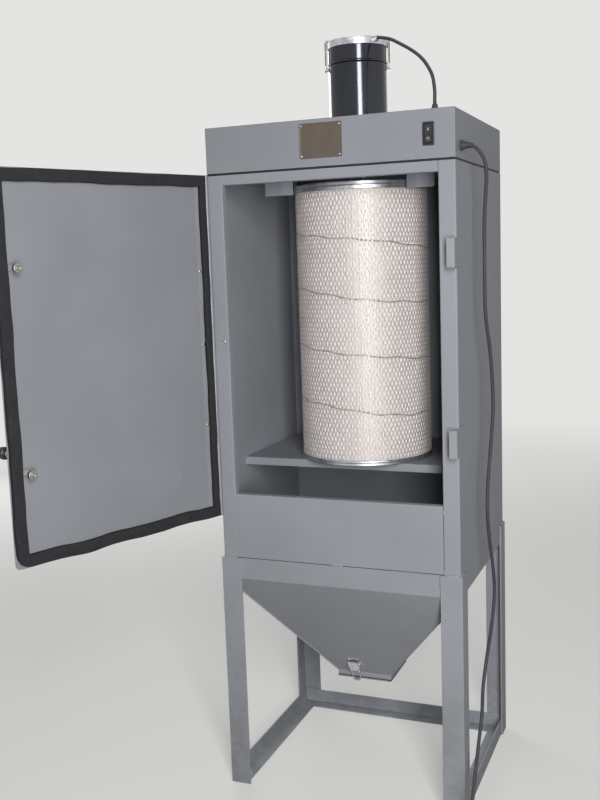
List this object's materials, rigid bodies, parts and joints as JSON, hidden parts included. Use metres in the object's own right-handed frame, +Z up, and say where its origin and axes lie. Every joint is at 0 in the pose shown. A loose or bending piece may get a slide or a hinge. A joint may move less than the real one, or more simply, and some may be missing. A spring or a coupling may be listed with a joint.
{
  "type": "cartridge dust collector cabinet",
  "caption": "Upright sheet-steel dust collector with an open gasketed door, round pleated filter cartridge, top motor canister, hopper and angle-iron stand.",
  "frame": {"origin": "on the floor, under the middle of the rear base rail's flat flange", "axes": "+X to the cabinet's right seen from the door side, +Y to the back, +Z up"},
  "size_m": [1.0333, 1.092, 1.8053],
  "materials": {
    "paint": "satin light blue-grey paint",
    "zinc": "galvanised sheet",
    "chrome": "bright plating",
    "rubber": "matt",
    "foam": "open-cell foam",
    "paper": "pleated filter paper",
    "plate": "bare taupe plate",
    "plastic": "moulded"
  },
  "bodies": {
    "cabinet": {"leg_front_left": "paint", "leg_front_right": "paint", "leg_rear_left": "paint", "leg_rear_right": "paint", "base_rail_left": "paint", "base_rail_right": "paint", "base_rail_rear": "paint", "side_panel_left": "paint", "side_panel_right": "paint", "back_panel": "paint", "head_rail": "paint", "lower_front_panel": "paint", "ceiling_panel": "paint", "shelf": "paint", "guide_left": "paint", "guide_right": "paint", "inlet_collar": "paint", "hopper_front": "paint", "hopper_rear": "paint", "hopper_left": "paint", "hopper_right": "paint", "outlet_collar": "paint", "outlet_cover": "paint", "top_box": "paint", "hinge_leaf_fixed": "paint", "keeper_upper": "paint", "keeper_lower": "paint", "filter_top_cap": "zinc", "filter_bottom_cap": "zinc", "canister_head": "zinc", "outlet_latch": "chrome", "motor_canister": "chrome", "canister_clips": "chrome", "hinge_pin": "chrome", "outlet_seal": "rubber", "filter_seal": "rubber", "top_box_gasket": "rubber", "lead_grommet": "rubber", "motor_lead": "rubber", "power_cord": "rubber", "cord_coil": "rubber", "cord_gland": "rubber", "plug": "rubber", "filter_media": "paper", "nameplate": "plate", "rocker_switch": "plastic"},
    "door": {"hinge_leaf_door": "paint", "door_panel": "paint", "door_foam": "foam"},
    "upper_latch": {"latch_upper": "chrome", "knob_upper": "plastic"},
    "lower_latch": {"latch_lower": "chrome", "knob_lower": "plastic"}
  },
  "joints": [
    {"name": "door_hinge", "type": "hinge", "parent": "cabinet", "child": "door", "pos_m": [-0.289, -0.4835, 1.091], "axis": [0, 0, -1], "range_deg": [-111.5, 43.5]},
    {"name": "upper_latch_turn", "type": "hinge", "parent": "door", "child": "upper_latch", "pos_m": [-0.48303, -0.96381, 1.296], "axis": [-0.9304, 0.3665, 0], "range_deg": [0, 90]},
    {"name": "lower_latch_turn", "type": "hinge", "parent": "door", "child": "lower_latch", "pos_m": [-0.48303, -0.96381, 0.886], "axis": [-0.9304, 0.3665, 0], "range_deg": [0, 90]}
  ]
}
